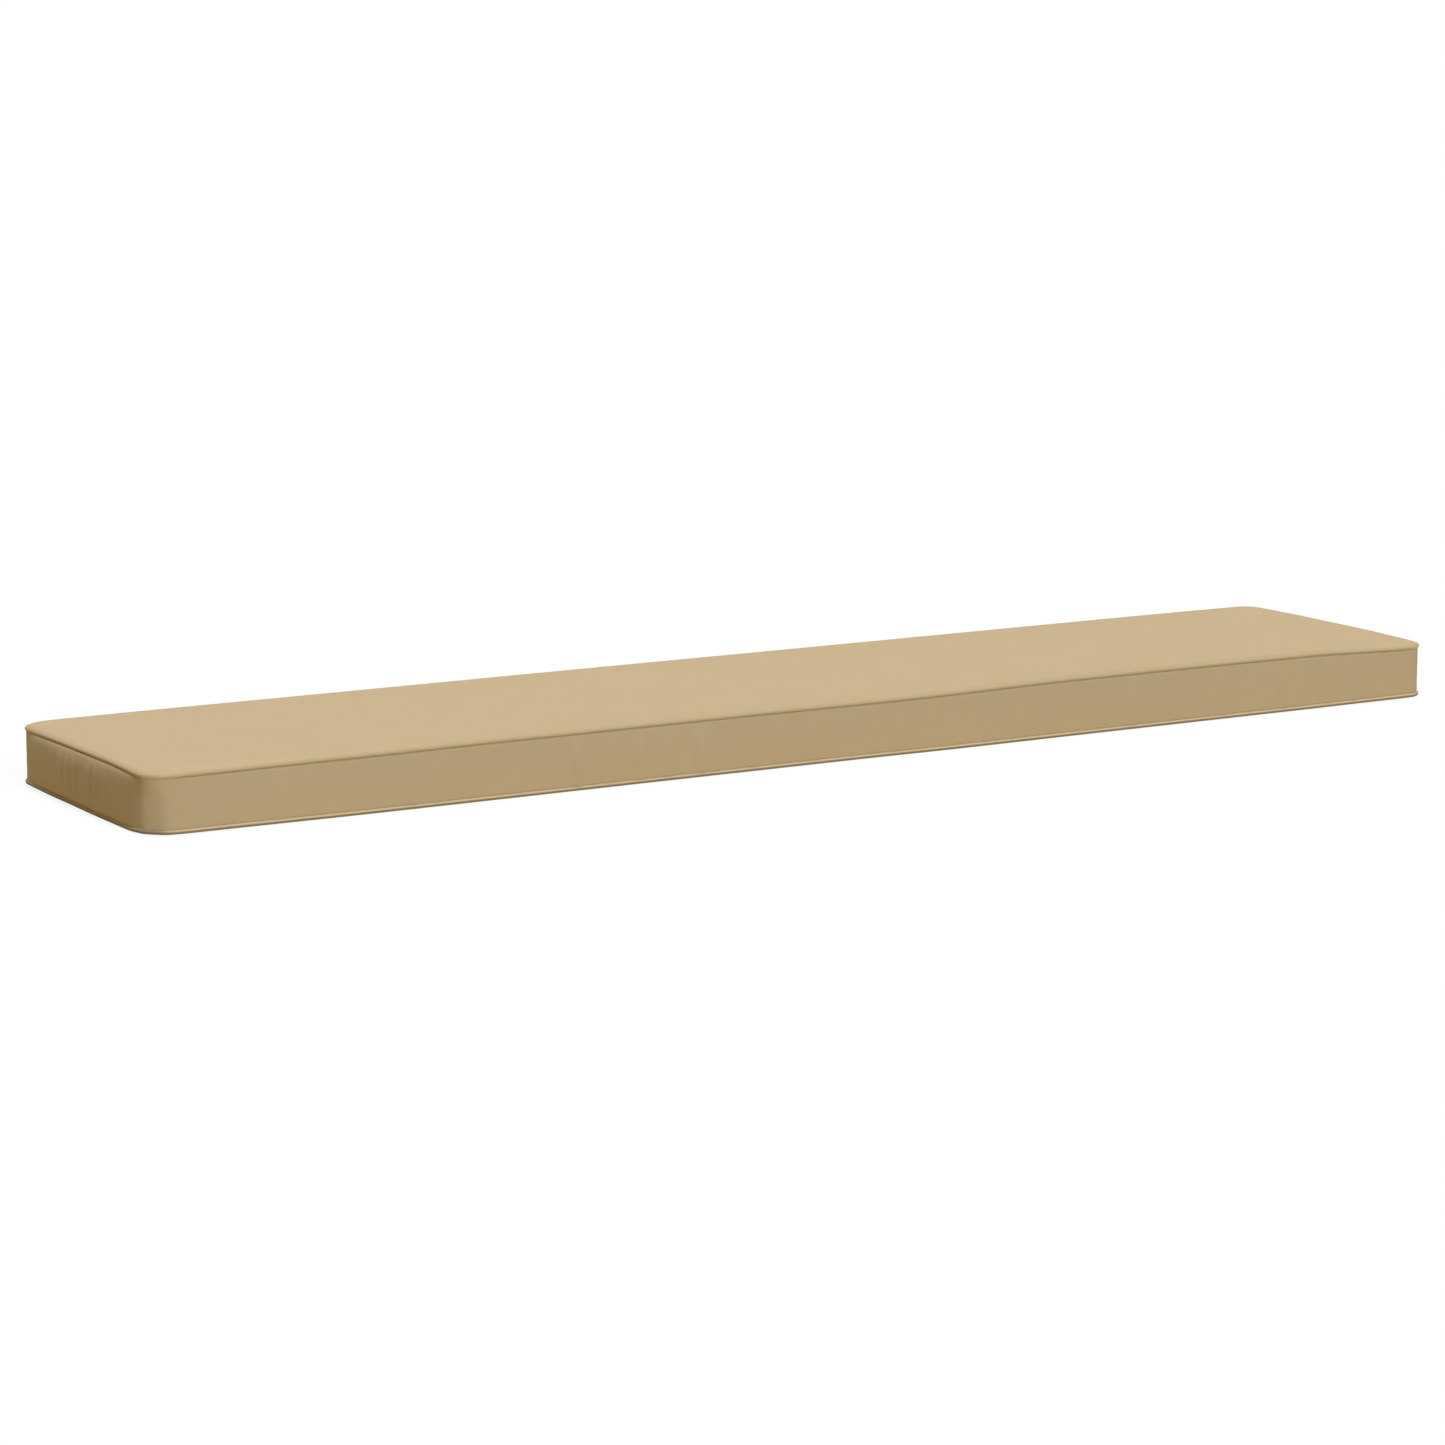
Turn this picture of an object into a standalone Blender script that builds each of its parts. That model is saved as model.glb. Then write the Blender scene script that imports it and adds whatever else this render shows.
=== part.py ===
"""Bench cushion: one long filled cushion with a crowned top, a boxing band and two piped seams.

Units are metres and +Z is up. The origin is at the bottom centre, X runs along the
length and the front faces -Y. The cushion lies on its flat underside at z = 0.
"""

import math
from collections import namedtuple

import bmesh
import bpy

# Driving dimensions, measured over the pipings
LENGTH = 2.000
DEPTH = 0.416
CORNER_RADIUS = 0.030
CROWN_HEIGHT = 0.0842
TOP_SEAM_HEIGHT = 0.0773
BOTTOM_SEAM_HEIGHT = 0.0028
TOP_DRAWN_IN = 0.0026
PIPING_RADIUS = 0.0024
GAP = 0.0003

# Shape of the filled cover
SHOULDER_WIDTH = 0.020
SHOULDER_ROUNDNESS = 2.2
CORNER_SINK = 0.29
CORNER_SINK_REACH = 0.200
BAND_BULGE = 0.0030
BAND_ROUNDNESS = 3.0
UNDERSIDE_ROLL = 0.012

# The seam grooves take the pipings: angles in the section, 0 outwards and 90 up
GROOVE_BAND_ANGLE = -110.0
GROOVE_PANEL_ANGLE = -230.0
GROOVE_STEPS = 3

# Fineness of the mesh
CORNER_STEPS = 7
LONG_STEPS = 32
END_STEPS = 7
PIPING_SIDES = 8
BAND_ROWS = (0.0, 0.06, 0.15, 0.28, 0.43, 0.58, 0.73, 0.86, 0.95, 1.0)
TOP_ROWS = (0.10, 0.25, 0.50, 1.0, 1.8, 3.2)
UNDERSIDE_ROWS = (0.35, 0.70, 1.0)

# Past this inset a ring's corners keep their radius and the ring only gets shorter
PLAIN_INSET = 0.006

# Side lines of the seams: place runs from -1 to 1 along a side, rise is in metres
SeamPoint = namedtuple("SeamPoint", "place rise")
CORNER_RISE = -0.0025
TOP_SEAM_FRONT = (
    SeamPoint(-1.00, CORNER_RISE),
    SeamPoint(-0.75, -0.0014),
    SeamPoint(-0.50, -0.0002),
    SeamPoint(-0.20, 0.0001),
    SeamPoint(0.10, -0.0003),
    SeamPoint(0.40, 0.0028),
    SeamPoint(0.60, 0.0029),
    SeamPoint(0.80, 0.0022),
    SeamPoint(1.00, CORNER_RISE),
)
TOP_SEAM_BACK = (
    SeamPoint(-1.00, CORNER_RISE),
    SeamPoint(-0.70, 0.0),
    SeamPoint(-0.20, 0.0006),
    SeamPoint(0.30, -0.0006),
    SeamPoint(0.70, 0.0),
    SeamPoint(1.00, CORNER_RISE),
)
TOP_SEAM_END = (
    SeamPoint(-1.00, CORNER_RISE),
    SeamPoint(-0.45, 0.0),
    SeamPoint(0.45, 0.0),
    SeamPoint(1.00, CORNER_RISE),
)
BOTTOM_SEAM_FRONT = (
    SeamPoint(-1.00, 0.0),
    SeamPoint(-0.70, 0.0001),
    SeamPoint(-0.20, 0.0005),
    SeamPoint(0.02, 0.0005),
    SeamPoint(0.18, 0.0),
    SeamPoint(0.50, 0.0005),
    SeamPoint(0.74, 0.0008),
    SeamPoint(1.00, 0.0),
)
BOTTOM_SEAM_PLAIN = (
    SeamPoint(-1.00, 0.0),
    SeamPoint(-0.40, 0.0004),
    SeamPoint(0.40, 0.0004),
    SeamPoint(1.00, 0.0),
)

# Soft upright ripples of the band: centre along the side, full width and height outwards
Ripple = namedtuple("Ripple", "centre width height")
FRONT_RIPPLES = (
    Ripple(-0.635, 0.026, 0.0007),
    Ripple(-0.603, 0.026, 0.0006),
    Ripple(-0.399, 0.030, 0.0011),
    Ripple(-0.349, 0.026, 0.0007),
    Ripple(-0.306, 0.030, 0.0010),
    Ripple(-0.265, 0.030, 0.0010),
    Ripple(-0.216, 0.034, 0.0011),
    Ripple(-0.178, 0.024, 0.0007),
    Ripple(-0.137, 0.032, 0.0008),
    Ripple(-0.098, 0.026, 0.0006),
    Ripple(-0.042, 0.036, 0.0007),
    Ripple(0.231, 0.026, 0.0007),
    Ripple(0.274, 0.028, 0.0006),
    Ripple(0.475, 0.030, 0.0009),
    Ripple(0.632, 0.030, 0.0008),
    Ripple(0.735, 0.028, 0.0007),
    Ripple(0.818, 0.026, 0.0007),
    Ripple(0.863, 0.030, 0.0007),
)
LEFT_RIPPLES = (
    Ripple(0.055, 0.022, 0.0009),
    Ripple(0.030, 0.022, 0.0009),
    Ripple(-0.004, 0.026, 0.0007),
    Ripple(-0.037, 0.024, 0.0009),
    Ripple(-0.062, 0.024, 0.0008),
)

HALF_LENGTH = LENGTH / 2
HALF_DEPTH = DEPTH / 2
CORE_X = HALF_LENGTH - CORNER_RADIUS
CORE_Y = HALF_DEPTH - CORNER_RADIUS
BOTTOM_SEAM_INSET = PIPING_RADIUS
TOP_SEAM_INSET = PIPING_RADIUS + TOP_DRAWN_IN

# One upright slice of the cushion: a point of the inner rectangle, the way out, and the
# section's own measures there
Station = namedtuple("Station", "core_x core_y out_x out_y top_seam bottom_seam swell")


def ease(value):
    """Smooth step from 0 to 1."""
    clamped = min(1.0, max(0.0, value))
    return clamped * clamped * (3.0 - 2.0 * clamped)


def seam_rise(points, place):
    """Rise of a seam at a place along its side, eased between the table's points."""
    for before, after in zip(points, points[1:]):
        if place <= after.place:
            share = ease((place - before.place) / (after.place - before.place))
            return before.rise + (after.rise - before.rise) * share
    return points[-1].rise


def ripple_height(ripples, along):
    """How far the band's ripples stand out at a place along the side."""
    heights = [
        ripple.height * max(0.0, 1.0 - 2.0 * abs(along - ripple.centre) / ripple.width)
        for ripple in ripples
    ]
    return max(heights, default=0.0)


def places_along(half_run, steps, ripples):
    """Places of the slices on a straight side: even steps, and each ripple's foot and ridge."""
    step = 2.0 * half_run / steps
    marks = []
    for ripple in ripples:
        marks.append(ripple.centre)
        marks.append(ripple.centre - ripple.width / 2)
        marks.append(ripple.centre + ripple.width / 2)
    closest = step / 8
    kept = []
    for mark in sorted(marks):
        if not kept or mark - kept[-1] > closest:
            kept.append(mark)
    for number in range(1, steps):
        place = -half_run + number * step
        if all(abs(place - mark) > step / 3 for mark in kept):
            kept.append(place)
    return sorted(kept)


def side_stations(half_run, steps, core, heading, out, tables, ripples):
    """Slices of one straight side, walked along its heading."""
    top_points, bottom_points = tables
    stations = []
    walked = places_along(half_run, steps, ripples)
    if heading[0] + heading[1] < 0:
        walked.reverse()
    for along in walked:
        place = along / half_run
        stations.append(
            Station(
                core[0] + abs(heading[0]) * along,
                core[1] + abs(heading[1]) * along,
                out[0],
                out[1],
                TOP_SEAM_HEIGHT + seam_rise(top_points, place),
                BOTTOM_SEAM_HEIGHT + seam_rise(bottom_points, place),
                ripple_height(ripples, along),
            )
        )
    return stations


def corner_stations(core_x, core_y, start_angle):
    """Slices round one corner, a quarter turn from the start angle in degrees."""
    stations = []
    for number in range(CORNER_STEPS + 1):
        angle = math.radians(start_angle + 90.0 * number / CORNER_STEPS)
        stations.append(
            Station(
                core_x,
                core_y,
                math.cos(angle),
                math.sin(angle),
                TOP_SEAM_HEIGHT + CORNER_RISE,
                BOTTOM_SEAM_HEIGHT,
                0.0,
            )
        )
    return stations


def all_stations():
    """Slices right round the cushion, from the front left corner by the front and right."""
    front = (TOP_SEAM_FRONT, BOTTOM_SEAM_FRONT)
    back = (TOP_SEAM_BACK, BOTTOM_SEAM_PLAIN)
    end = (TOP_SEAM_END, BOTTOM_SEAM_PLAIN)
    stations = corner_stations(-CORE_X, -CORE_Y, 180.0)
    stations += side_stations(
        CORE_X, LONG_STEPS, (0.0, -CORE_Y), (1, 0), (0, -1), front, FRONT_RIPPLES
    )
    stations += corner_stations(CORE_X, -CORE_Y, 270.0)
    stations += side_stations(CORE_Y, END_STEPS, (CORE_X, 0.0), (0, 1), (1, 0), end, ())
    stations += corner_stations(CORE_X, CORE_Y, 0.0)
    stations += side_stations(
        CORE_X, LONG_STEPS, (0.0, CORE_Y), (-1, 0), (0, 1), back, ()
    )
    stations += corner_stations(-CORE_X, CORE_Y, 90.0)
    stations += side_stations(
        CORE_Y, END_STEPS, (-CORE_X, 0.0), (0, -1), (-1, 0), end, LEFT_RIPPLES
    )
    return stations


def point_at(station, inset, height):
    """Point of a slice at an inset from the outline over the pipings."""
    radius = CORNER_RADIUS - min(inset, PLAIN_INSET)
    extra = max(0.0, inset - PLAIN_INSET)
    x = station.core_x * (CORE_X - extra) / CORE_X + station.out_x * radius
    y = station.core_y * (CORE_Y - extra) / CORE_Y + station.out_y * radius
    return (x, y, height)


def groove(seam_inset, seam_height, upside_down):
    """(inset, height) points of the groove that a piping lies in, from band to panel."""
    half_step = (GROOVE_BAND_ANGLE - GROOVE_PANEL_ANGLE) / GROOVE_STEPS / 2
    reach = (PIPING_RADIUS + GAP) / math.cos(math.radians(half_step))
    points = []
    for number in range(GROOVE_STEPS + 1):
        angle = math.radians(GROOVE_BAND_ANGLE - 2 * half_step * number)
        lift = -math.sin(angle) if upside_down else math.sin(angle)
        points.append((seam_inset - reach * math.cos(angle), seam_height + reach * lift))
    return points


def top_height(station, inset, start_inset, start_height):
    """Height of the top panel: a steep shoulder, then the crown, lower at the corners."""
    x, y, _ = point_at(station, inset, 0.0)
    corner_distance = (HALF_LENGTH - abs(x)) + (HALF_DEPTH - abs(y))
    near_corner = max(0.0, 1.0 - corner_distance / CORNER_SINK_REACH)
    fullness = 1.0 - CORNER_SINK * near_corner**2
    share = min(1.0, (inset - start_inset) / SHOULDER_WIDTH)
    level = TOP_SEAM_HEIGHT + PIPING_RADIUS
    target = level + (CROWN_HEIGHT - level) * fullness
    return start_height + (target - start_height) * (1.0 - (1.0 - share) ** SHOULDER_ROUNDNESS)


def section(station):
    """Ring points of one slice, from the middle of the underside round to the crown."""
    bottom = groove(BOTTOM_SEAM_INSET, station.bottom_seam, upside_down=True)
    top = groove(TOP_SEAM_INSET, station.top_seam, upside_down=False)
    start_inset, start_height = bottom[-1]
    points = []
    for share in reversed(UNDERSIDE_ROWS):
        height = start_height * (1.0 - share) ** 2
        points.append((start_inset + UNDERSIDE_ROLL * share, height))
    points += reversed(bottom)
    low_inset, low_height = bottom[0]
    high_inset, high_height = top[0]
    for row in BAND_ROWS[1:-1]:
        bulge = BAND_BULGE * (1.0 - abs(2.0 * row - 1.0) ** BAND_ROUNDNESS)
        ripple = station.swell * math.sin(math.pi * row) * (1.2 - 0.4 * row)
        inset = low_inset + (high_inset - low_inset) * row - bulge - ripple
        points.append((inset, low_height + (high_height - low_height) * row))
    points += top
    start_inset, start_height = top[-1]
    for row in TOP_ROWS:
        inset = start_inset + SHOULDER_WIDTH * row
        points.append((inset, top_height(station, inset, start_inset, start_height)))
    return [point_at(station, inset, height) for inset, height in points]


def make_cushion(stations):
    """Loft the slices into one closed body and close the two panels."""
    mesh_builder = bmesh.new()
    rows = [[mesh_builder.verts.new(point) for point in section(each)] for each in stations]
    for slice_row, next_row in zip(rows, rows[1:] + rows[:1]):
        for low in range(len(slice_row) - 1):
            corners = (slice_row[low], next_row[low], next_row[low + 1], slice_row[low + 1])
            mesh_builder.faces.new(corners)
    mesh_builder.faces.new([row[0] for row in reversed(rows)])
    mesh_builder.faces.new([row[-1] for row in rows])
    mesh = bpy.data.meshes.new("cushion")
    mesh_builder.to_mesh(mesh)
    mesh_builder.free()
    mesh.shade_smooth()
    return bpy.data.objects.new("cushion", mesh)


def make_piping(name, stations, seam_inset, seam_heights):
    """Covered cord in a seam: a closed round tube along the outline."""
    curve = bpy.data.curves.new(name, "CURVE")
    curve.dimensions = "3D"
    curve.twist_mode = "Z_UP"
    curve.bevel_depth = PIPING_RADIUS
    curve.bevel_resolution = PIPING_SIDES // 2 - 2
    spline = curve.splines.new("POLY")
    path = [
        point_at(station, seam_inset, height)
        for station, height in zip(stations, seam_heights)
    ]
    spline.points.add(len(path) - 1)
    for spline_point, point in zip(spline.points, path):
        spline_point.co = (*point, 1.0)
    spline.use_cyclic_u = True
    return bpy.data.objects.new(name, curve)


def cloth_material(name, colour, roughness):
    """Woven canvas as a plain matt colour."""
    material = bpy.data.materials.new(name)
    material.use_nodes = True
    shader = material.node_tree.nodes["Principled BSDF"]
    shader.inputs["Base Color"].default_value = (*colour, 1.0)
    shader.inputs["Roughness"].default_value = roughness
    shader.inputs["Metallic"].default_value = 0.0
    return material


def main():
    for existing in list(bpy.data.objects):
        bpy.data.objects.remove(existing, do_unlink=True)
    collection = bpy.data.collections.new("bench_cushion")
    bpy.context.scene.collection.children.link(collection)

    stations = all_stations()
    cushion = make_cushion(stations)
    cushion.data.materials.append(cloth_material("canvas", (0.50, 0.37, 0.21), 0.85))

    top_heights = [each.top_seam for each in stations]
    top_piping = make_piping("top_piping", stations, TOP_SEAM_INSET, top_heights)
    top_piping.data.materials.append(cloth_material("piping_top", (0.47, 0.35, 0.20), 0.85))
    bottom_heights = [each.bottom_seam for each in stations]
    bottom_piping = make_piping("bottom_piping", stations, BOTTOM_SEAM_INSET, bottom_heights)
    bottom_piping.data.materials.append(
        cloth_material("piping_bottom", (0.47, 0.35, 0.20), 0.85)
    )
    for piece in (cushion, top_piping, bottom_piping):
        collection.objects.link(piece)


main()
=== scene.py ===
"""Bench cushion in its finished looks: a padded canvas cover and two covered pipings.

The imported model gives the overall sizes. Everything is in metres, +Z up, with the cushion's
flat underside on z = 0 and its front facing -Y.
"""

import logging
import math
import random
from dataclasses import dataclass, field, replace
from enum import Enum
from typing import NamedTuple

import bmesh
import bpy
import numpy as np
from bmesh.types import BMVert
from bpy.types import ID, Material, Mesh, Node, NodeSocket, NodeTree, Object, bpy_prop_collection
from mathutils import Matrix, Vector


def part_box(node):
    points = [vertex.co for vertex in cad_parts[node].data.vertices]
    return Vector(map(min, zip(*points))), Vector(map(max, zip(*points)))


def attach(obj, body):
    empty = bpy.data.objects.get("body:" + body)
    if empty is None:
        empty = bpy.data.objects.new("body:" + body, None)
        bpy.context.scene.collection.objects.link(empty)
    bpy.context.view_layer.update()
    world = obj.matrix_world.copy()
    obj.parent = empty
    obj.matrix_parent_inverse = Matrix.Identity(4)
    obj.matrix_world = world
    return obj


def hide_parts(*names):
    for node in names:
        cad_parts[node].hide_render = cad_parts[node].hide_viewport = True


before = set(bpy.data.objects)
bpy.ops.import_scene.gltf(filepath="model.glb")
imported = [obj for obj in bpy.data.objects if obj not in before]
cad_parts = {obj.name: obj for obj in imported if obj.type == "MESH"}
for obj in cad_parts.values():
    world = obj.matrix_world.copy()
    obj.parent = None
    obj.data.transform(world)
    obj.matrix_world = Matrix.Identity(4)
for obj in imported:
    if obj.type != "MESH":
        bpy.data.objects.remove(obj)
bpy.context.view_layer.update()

LOG = logging.getLogger("bench_cushion")
MM = 0.001

# Where a face lies in the seam_run UV map when no seam is near
FAR_FROM_SEAM = (0.0, 1.0)
# Rings of the underside's roll and of the seat's shoulder, as shares of their widths: they are
# closer together near the seam, where the cloth turns most
UNDERSIDE_SHARES = (1.0, 0.8, 0.6, 0.42, 0.28, 0.16, 0.07)
SHOULDER_SHARES = (0.05, 0.11, 0.19, 0.29, 0.42, 0.58, 0.78, 1.0, 1.3)


class Side(Enum):
    """The four sides of the outline, in the order in which it is walked."""

    FRONT = 0
    RIGHT = 1
    BACK = 2
    LEFT = 3


class Zone(Enum):
    """The cut pieces of cloth, as material indices of the cover."""

    SEAT_PANEL = 0
    BAND = 1
    UNDER_PANEL = 2


# Where down the band a ripple is usually strongest, from 0 at the top seam to 1 at the bottom seam
USUAL_LOW = 0.6


class Knot(NamedTuple):
    """A place along a side from -1 to 1, and how far the seam rises there."""

    place: float
    rise_mm: float


class Ripple(NamedTuple):
    """A soft upright ripple of the band.

    Its centre and half width are in metres along its side, and its height is in millimetres
    outwards. It is strongest at low, down the band.
    """

    centre: float
    width: float
    height_mm: float
    low: float = USUAL_LOW


# The seams aren't quite level: each side's waves, over the seam's own height
CORNER_RISE_MM = -2.5
BACK_LEFT_RISE_MM = -0.8

TOP_SEAM: dict[Side, tuple[Knot, ...]] = {
    Side.FRONT: (
        Knot(-1.00, CORNER_RISE_MM), Knot(-0.75, -1.4), Knot(-0.50, -0.2), Knot(-0.20, 0.1),
        Knot(0.10, -0.3), Knot(0.40, 2.8), Knot(0.60, 2.9), Knot(0.80, 2.2),
        Knot(1.00, CORNER_RISE_MM),
    ),
    Side.RIGHT: (
        Knot(-1.00, CORNER_RISE_MM), Knot(-0.45, 0.0), Knot(0.45, 0.0),
        Knot(1.00, CORNER_RISE_MM),
    ),
    Side.BACK: (
        Knot(-1.00, BACK_LEFT_RISE_MM), Knot(-0.70, 0.0), Knot(-0.20, 0.6), Knot(0.30, -0.6),
        Knot(0.70, 0.0), Knot(1.00, CORNER_RISE_MM),
    ),
    Side.LEFT: (
        Knot(-1.00, CORNER_RISE_MM), Knot(-0.45, -0.2), Knot(0.45, 0.0),
        Knot(1.00, BACK_LEFT_RISE_MM),
    ),
}

RIGHT_CORNER_LIFT_MM = 1.5
FRONT_LEFT_LIFT_MM = 1.0
BACK_LEFT_LIFT_MM = 3.6

BOTTOM_SEAM: dict[Side, tuple[Knot, ...]] = {
    Side.FRONT: (
        Knot(-1.00, FRONT_LEFT_LIFT_MM), Knot(-0.70, 0.1), Knot(-0.20, 0.5), Knot(0.02, 0.5),
        Knot(0.18, 0.0), Knot(0.50, 0.5), Knot(0.74, 0.8), Knot(1.00, RIGHT_CORNER_LIFT_MM),
    ),
    Side.RIGHT: (Knot(-1.00, RIGHT_CORNER_LIFT_MM), Knot(-0.40, 0.4), Knot(0.40, 0.4), Knot(1.00, 0.0)),
    Side.BACK: (Knot(-1.00, BACK_LEFT_LIFT_MM), Knot(-0.80, 0.6), Knot(0.40, 0.4), Knot(1.00, 0.0)),
    Side.LEFT: (
        Knot(-1.00, FRONT_LEFT_LIFT_MM), Knot(-0.80, 0.1), Knot(-0.35, 0.3), Knot(0.40, 1.8),
        Knot(1.00, BACK_LEFT_LIFT_MM),
    ),
}

# Ripples that show on the front and the left end
RIPPLES: dict[Side, tuple[Ripple, ...]] = {
    Side.FRONT: (
        Ripple(-0.823, 0.015, 1.1), Ripple(-0.778, 0.014, 1.1), Ripple(-0.636, 0.011, 2.0),
        Ripple(-0.604, 0.010, 1.9, 0.7), Ripple(-0.399, 0.012, 3.2), Ripple(-0.375, 0.010, 1.4),
        Ripple(-0.350, 0.010, 2.0, 0.5), Ripple(-0.307, 0.011, 3.0), Ripple(-0.266, 0.012, 3.0),
        Ripple(-0.216, 0.015, 3.2), Ripple(-0.193, 0.010, 1.9, 0.7), Ripple(-0.168, 0.010, 1.9),
        Ripple(-0.138, 0.015, 2.0, 0.5), Ripple(-0.098, 0.010, 1.9), Ripple(-0.043, 0.018, 2.0),
        Ripple(0.086, 0.015, 1.1), Ripple(0.231, 0.010, 1.9), Ripple(0.274, 0.011, 1.9),
        Ripple(0.475, 0.012, 2.3, 0.7), Ripple(0.513, 0.012, 1.1), Ripple(0.632, 0.012, 2.3),
        Ripple(0.735, 0.011, 2.0), Ripple(0.818, 0.010, 2.0, 0.5), Ripple(0.863, 0.012, 2.0),
        Ripple(0.888, 0.010, 1.1), Ripple(0.957, 0.011, 1.4),
    ),
    Side.LEFT: (
        Ripple(0.0555, 0.013, 1.6, 0.35), Ripple(0.0325, 0.013, 2.3, 0.35),
        Ripple(0.0100, 0.013, 1.9, 0.35), Ripple(-0.0175, 0.009, 1.1, 0.35),
        Ripple(-0.0325, 0.012, 2.6, 0.35), Ripple(-0.0575, 0.013, 2.1, 0.35),
        Ripple(-0.0825, 0.014, 1.4, 0.35),
    ),
}


def srgb_to_linear(hex_colour: str) -> tuple[float, float, float, float]:
    """Turn an sRGB hex colour into the linear RGBA that shaders take.

    Args:
        hex_colour: Six hex digits with a leading #.

    Returns:
        Linear red, green and blue, and an alpha of 1.
    """
    levels = [int(hex_colour[start:start + 2], 16) / 255 for start in (1, 3, 5)]
    linear = [
        level / 12.92 if level <= 0.04045 else ((level + 0.055) / 1.055) ** 2.4
        for level in levels
    ]
    return (linear[0], linear[1], linear[2], 1.0)


def ease(values: np.ndarray) -> np.ndarray:
    """Smooth step from 0 to 1 of values in that range."""
    clamped = np.clip(values, 0.0, 1.0)
    return clamped * clamped * (3.0 - 2.0 * clamped)


def add_object(name: str, data: ID) -> Object:
    """Add an object with this mesh, light or camera to the scene."""
    added = bpy.data.objects.new(name, data)
    bpy.context.scene.collection.objects.link(added)
    return added


def write_painted_shade(mesh: Mesh, depths: np.ndarray) -> None:
    """Give each point of a mesh its painted shade, from 0 to 1, which darkens its cloth."""
    attribute = mesh.attributes.new("painted_shade", "FLOAT", "POINT")
    attribute.data.foreach_set("value", depths.astype(np.float32))


def add_node(
    tree: NodeTree, kind: str, sockets: dict[str | int, object] | None = None, **settings: object
) -> Node:
    """Add a node, set its properties, and fill or link its input sockets.

    Args:
        tree: The shader or geometry tree.
        kind: The node's type name.
        sockets: Input name or number to a value, to an output socket to link, or to a node
            whose first output is linked.
        settings: Properties of the node itself.

    Returns:
        The new node.
    """
    node = tree.nodes.new(kind)
    for name, value in settings.items():
        setattr(node, name, value)
    for name, value in (sockets or {}).items():
        source = value.outputs[0] if isinstance(value, Node) else value
        if isinstance(source, NodeSocket):
            tree.links.new(source, node.inputs[name])
        else:
            node.inputs[name].default_value = source
    return node


@dataclass
class Walk:
    """Points of a walk right round the outline, one row of arrays for each slice."""

    core: np.ndarray
    out: np.ndarray
    side: np.ndarray
    along: np.ndarray
    place: np.ndarray
    from_corner: np.ndarray
    travel: np.ndarray

    @property
    def count(self) -> int:
        """Number of slices."""
        return len(self.travel)

    @property
    def mid_end(self) -> np.ndarray:
        """1 along the middle of each end, falling to 0 at its corners and elsewhere."""
        on_end = np.isin(self.side, (Side.LEFT.value, Side.RIGHT.value))
        return np.clip(1.0 - self.place**4, 0.0, 1.0) * on_end

    def seam_height(self, level: float, knots: dict[Side, tuple[Knot, ...]]) -> np.ndarray:
        """Height of a seam at every slice.

        Args:
            level: The seam's own height before its waves.
            knots: The wave of each side.

        Returns:
            One height for each slice, eased between the knots.
        """
        heights = np.full(self.count, level)
        for side, points in knots.items():
            mine = self.side == side.value
            places = np.array([knot.place for knot in points])
            rises = np.array([knot.rise_mm for knot in points]) * MM
            here = np.clip(self.place[mine], -1.0, 1.0)
            span = np.clip(np.searchsorted(places, here) - 1, 0, len(points) - 2)
            share = ease((here - places[span]) / (places[span + 1] - places[span]))
            heights[mine] += rises[span] + (rises[span + 1] - rises[span]) * share
        return heights


@dataclass
class Outline:
    """The rounded rectangle over the pipings, walked from the front left corner.

    Up to plain_inset a corner keeps its centre and turns tighter. Further in, its radius stays
    and the whole ring shrinks.
    """

    length: float
    depth: float
    corner_radius: float = 0.030
    plain_inset: float = 0.006

    @property
    def core(self) -> np.ndarray:
        """Half sizes of the rectangle that joins the corners' centres."""
        return np.array([self.length, self.depth]) / 2 - self.corner_radius

    def walk(self, long_cells: int, short_cells: int) -> Walk:
        """Walk round the outline in even steps, a side at a time.

        Args:
            long_cells: Steps on the front and the back, with half a corner at each end.
            short_cells: Steps on each end.

        Returns:
            The slices, starting in the middle of the front left corner.
        """
        half_arc = self.corner_radius * math.pi / 4
        slices = []
        walked = 0.0
        for side in Side:
            lengthwise = side in (Side.FRONT, Side.BACK)
            run = 2 * (self.core[0] if lengthwise else self.core[1])
            cells = long_cells if lengthwise else short_cells
            outwards = math.radians(90 * side.value - 90)
            forward = side in (Side.FRONT, Side.RIGHT)
            total = run + 2 * half_arc
            for step in range(cells):
                gone = total * step / cells
                straight = min(max(gone - half_arc, 0.0), run)
                bend = min(gone, half_arc) - half_arc + max(gone - half_arc - run, 0.0)
                angle = outwards + bend / self.corner_radius
                along = (straight - run / 2) * (1 if forward else -1)
                edge = self.core[1 if lengthwise else 0]
                if lengthwise:
                    centre = (along, edge * math.sin(outwards))
                else:
                    centre = (edge * math.cos(outwards), along)
                out = (math.cos(angle), math.sin(angle))
                from_corner = min(gone, total - gone)
                place = along / (run / 2)
                slices.append((centre, out, side.value, along, place, from_corner, walked + gone))
            walked += total
        return Walk(*(np.array(column) for column in zip(*slices)))

    @property
    def perimeter(self) -> float:
        """Length of the walk right round."""
        return 4 * float(self.core.sum()) + 2 * math.pi * self.corner_radius

    def points(self, walk: Walk, inset: np.ndarray | float, height: np.ndarray | float) -> np.ndarray:
        """Points of all slices at an inset from the outline.

        Args:
            walk: The slices.
            inset: How far inside the outline, one value or one for each slice.
            height: Their height, one value or one for each slice.

        Returns:
            An array of x, y and z for each slice.
        """
        inset = np.broadcast_to(np.asarray(inset, float), (walk.count,))
        radius = self.corner_radius - np.minimum(inset, self.plain_inset)
        extra = np.maximum(0.0, inset - self.plain_inset)
        shrink = (self.core[None, :] - extra[:, None]) / self.core[None, :]
        flat = walk.core * shrink + walk.out * radius[:, None]
        return np.column_stack([flat, np.broadcast_to(height, (walk.count,))])


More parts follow.
